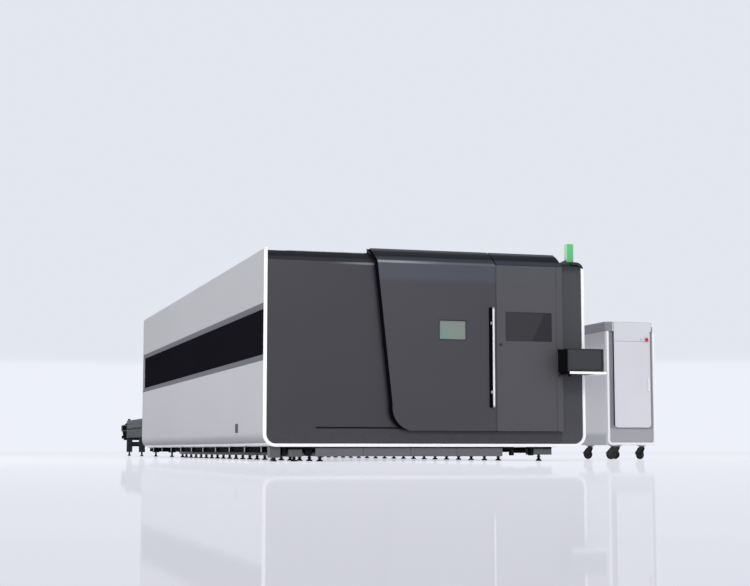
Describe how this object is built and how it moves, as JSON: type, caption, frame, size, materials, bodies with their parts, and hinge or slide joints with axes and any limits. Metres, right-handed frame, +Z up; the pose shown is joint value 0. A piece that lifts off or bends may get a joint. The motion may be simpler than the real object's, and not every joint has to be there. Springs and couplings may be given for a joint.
{
  "type": "fiber laser cutting machine",
  "caption": "Enclosed fibre laser cutting machine with sliding front door, operator console, gantry over toothed pallets, rear exchange table and a separate laser source cabinet on casters.",
  "frame": {"origin": "centre of the footprint of the whole machine, on the floor", "axes": "+X to the right along the front, +Y from the front to the exchange table at the back, +Z up"},
  "size_m": [5.92, 18.31, 2.503],
  "materials": {
    "dark_panel": "satin",
    "black_panel": "satin",
    "light_panel": "satin",
    "white_trim": "gloss",
    "frame_grey": "satin",
    "bare_steel": "brushed",
    "carriage_paint": "satin",
    "head_metal": "satin",
    "cabinet_door_paint": "satin",
    "device_grey": "matte",
    "handle_metal": "satin",
    "viewing_pane": "polished",
    "screen": "gloss",
    "console_paint": "satin",
    "stop_red": "gloss",
    "lamp_green": "gloss",
    "motor_grey": "satin",
    "source_paint": "satin",
    "caster_metal": "satin",
    "caster_tyre": "matte"
  },
  "bodies": {
    "machine": {"bed_frame": "frame_grey", "levelling_feet": "bare_steel", "side_skirts": "black_panel", "slag_apron": "frame_grey", "enclosure_frame": "frame_grey", "front_trim": "white_trim", "left_front_panel": "dark_panel", "plinth_panel": "dark_panel", "right_front_column": "dark_panel", "right_hood": "dark_panel", "left_upper_panel": "light_panel", "left_lower_panel": "light_panel", "right_upper_panel": "light_panel", "right_lower_panel": "light_panel", "side_bands": "black_panel", "bottom_trims": "white_trim", "roof_panel": "light_panel", "rear_wall": "light_panel", "linear_rails": "bare_steel", "cabinet_shell": "light_panel", "cabinet_devices": "device_grey", "lamp_base": "black_panel", "lamp_lens": "lamp_green", "table_frame": "frame_grey", "drive_chains": "bare_steel", "gearmotor": "motor_grey", "source_shell": "source_paint", "source_front_frame": "white_trim", "laser_module": "device_grey"},
    "front_door": {"door_panel": "dark_panel", "door_window": "viewing_pane", "door_handle": "handle_metal", "handle_backing": "black_panel", "door_edge_strip": "black_panel", "door_hangers": "bare_steel"},
    "rear_lift_door": {"rear_lift_door": "carriage_paint"},
    "cabinet_door": {"cabinet_door": "cabinet_door_paint", "monitor": "screen"},
    "cabinet_lock": {"cabinet_lock": "bare_steel"},
    "console": {"console_box": "console_paint", "console_tray": "white_trim"},
    "console_estop": {"console_estop": "stop_red"},
    "gantry": {"gantry_beam": "frame_grey"},
    "carriage": {"carriage": "carriage_paint"},
    "cutting_head": {"cutting_head": "head_metal"},
    "upper_pallet": {"upper_pallet_frame": "frame_grey", "upper_pallet_slats": "bare_steel"},
    "lower_pallet": {"lower_pallet_frame": "frame_grey", "lower_pallet_slats": "bare_steel"},
    "drive_shaft": {"drive_shaft": "bare_steel"},
    "source_door": {"source_door": "source_paint"},
    "source_estop": {"source_estop": "stop_red"},
    "caster_fork_1": {"caster_fork_1": "caster_metal"},
    "caster_wheel_1": {"caster_wheel_1": "caster_tyre"},
    "caster_fork_2": {"caster_fork_2": "caster_metal"},
    "caster_wheel_2": {"caster_wheel_2": "caster_tyre"},
    "caster_fork_3": {"caster_fork_3": "caster_metal"},
    "caster_wheel_3": {"caster_wheel_3": "caster_tyre"},
    "caster_fork_4": {"caster_fork_4": "caster_metal"},
    "caster_wheel_4": {"caster_wheel_4": "caster_tyre"}
  },
  "joints": [
    {"name": "door_slide", "type": "slide", "parent": "machine", "child": "front_door", "axis": [-1, 0, 0], "range_m": [0, 0.906]},
    {"name": "rear_door_lift", "type": "slide", "parent": "machine", "child": "rear_lift_door", "axis": [0, 0, 1], "range_m": [-0.56, 0]},
    {"name": "cabinet_door_hinge", "type": "hinge", "parent": "machine", "child": "cabinet_door", "pos_m": [0.424, -8.855, 1.07], "axis": [0, 0, 1], "range_deg": [0, 88]},
    {"name": "cabinet_lock_turn", "type": "hinge", "parent": "cabinet_door", "child": "cabinet_lock", "pos_m": [-0.25, -8.855, 1.302], "axis": [0, 1, 0], "range_deg": [0, 90]},
    {"name": "console_swing", "type": "hinge", "parent": "machine", "child": "console", "pos_m": [0.454, -8.871, 0.998], "axis": [0, 0, 1], "range_deg": [-75, 0]},
    {"name": "console_estop_press", "type": "slide", "parent": "console", "child": "console_estop", "axis": [-1, 0, 0], "range_m": [0, 0.004], "stiffness_N_per_m": 1500},
    {"name": "gantry_travel", "type": "slide", "parent": "machine", "child": "gantry", "axis": [0, 1, 0], "range_m": [0, 8.1]},
    {"name": "carriage_travel", "type": "slide", "parent": "gantry", "child": "carriage", "axis": [1, 0, 0], "range_m": [0, 2.42]},
    {"name": "head_travel", "type": "slide", "parent": "carriage", "child": "cutting_head", "axis": [0, 0, 1], "range_m": [-0.27, 0]},
    {"name": "upper_pallet_travel", "type": "slide", "parent": "machine", "child": "upper_pallet", "axis": [0, 1, 0], "range_m": [0, 8.65]},
    {"name": "lower_pallet_travel", "type": "slide", "parent": "machine", "child": "lower_pallet", "axis": [0, 1, 0], "range_m": [-8.65, 0]},
    {"name": "drive_shaft_turn", "type": "hinge", "parent": "machine", "child": "drive_shaft", "pos_m": [-0.88, 9.065, 0.6], "axis": [-1, 0, 0], "range_deg": [0, 8420]},
    {"name": "source_door_hinge", "type": "hinge", "parent": "machine", "child": "source_door", "pos_m": [2.357, -6.313, 1], "axis": [0, 0, -1], "range_deg": [0, 110]},
    {"name": "source_estop_press", "type": "slide", "parent": "machine", "child": "source_estop", "axis": [0, 1, 0], "range_m": [0, 0.004], "stiffness_N_per_m": 1500},
    {"name": "caster_1_swivel", "type": "hinge", "parent": "machine", "child": "caster_fork_1", "pos_m": [2.375, -6.205, 0.15], "axis": [0, 0, 1], "continuous": true},
    {"name": "caster_1_roll", "type": "hinge", "parent": "caster_fork_1", "child": "caster_wheel_1", "pos_m": [2.34821, -6.18407, 0.062], "axis": [0.6157, 0.788, 0], "continuous": true},
    {"name": "caster_2_swivel", "type": "hinge", "parent": "machine", "child": "caster_fork_2", "pos_m": [2.79, -6.205, 0.15], "axis": [0, 0, 1], "continuous": true},
    {"name": "caster_2_roll", "type": "hinge", "parent": "caster_fork_2", "child": "caster_wheel_2", "pos_m": [2.77949, -6.17266, 0.062], "axis": [0.9511, 0.309, 0], "continuous": true},
    {"name": "caster_3_swivel", "type": "hinge", "parent": "machine", "child": "caster_fork_3", "pos_m": [2.375, -5.465, 0.15], "axis": [0, 0, 1], "continuous": true},
    {"name": "caster_3_roll", "type": "hinge", "parent": "caster_fork_3", "child": "caster_wheel_3", "pos_m": [2.3555, -5.43715, 0.062], "axis": [0.8192, 0.5736, 0], "continuous": true},
    {"name": "caster_4_swivel", "type": "hinge", "parent": "machine", "child": "caster_fork_4", "pos_m": [2.79, -5.465, 0.15], "axis": [0, 0, 1], "continuous": true},
    {"name": "caster_4_roll", "type": "hinge", "parent": "caster_fork_4", "child": "caster_wheel_4", "pos_m": [2.75805, -5.45337, 0.062], "axis": [0.342, 0.9397, 0], "continuous": true}
  ],
  "couplings": [
    {"joint": "lower_pallet_travel", "follows": "upper_pallet_travel", "ratio": -1},
    {"joint": "drive_shaft_turn", "follows": "upper_pallet_travel", "rad_per_m": 16.949}
  ]
}
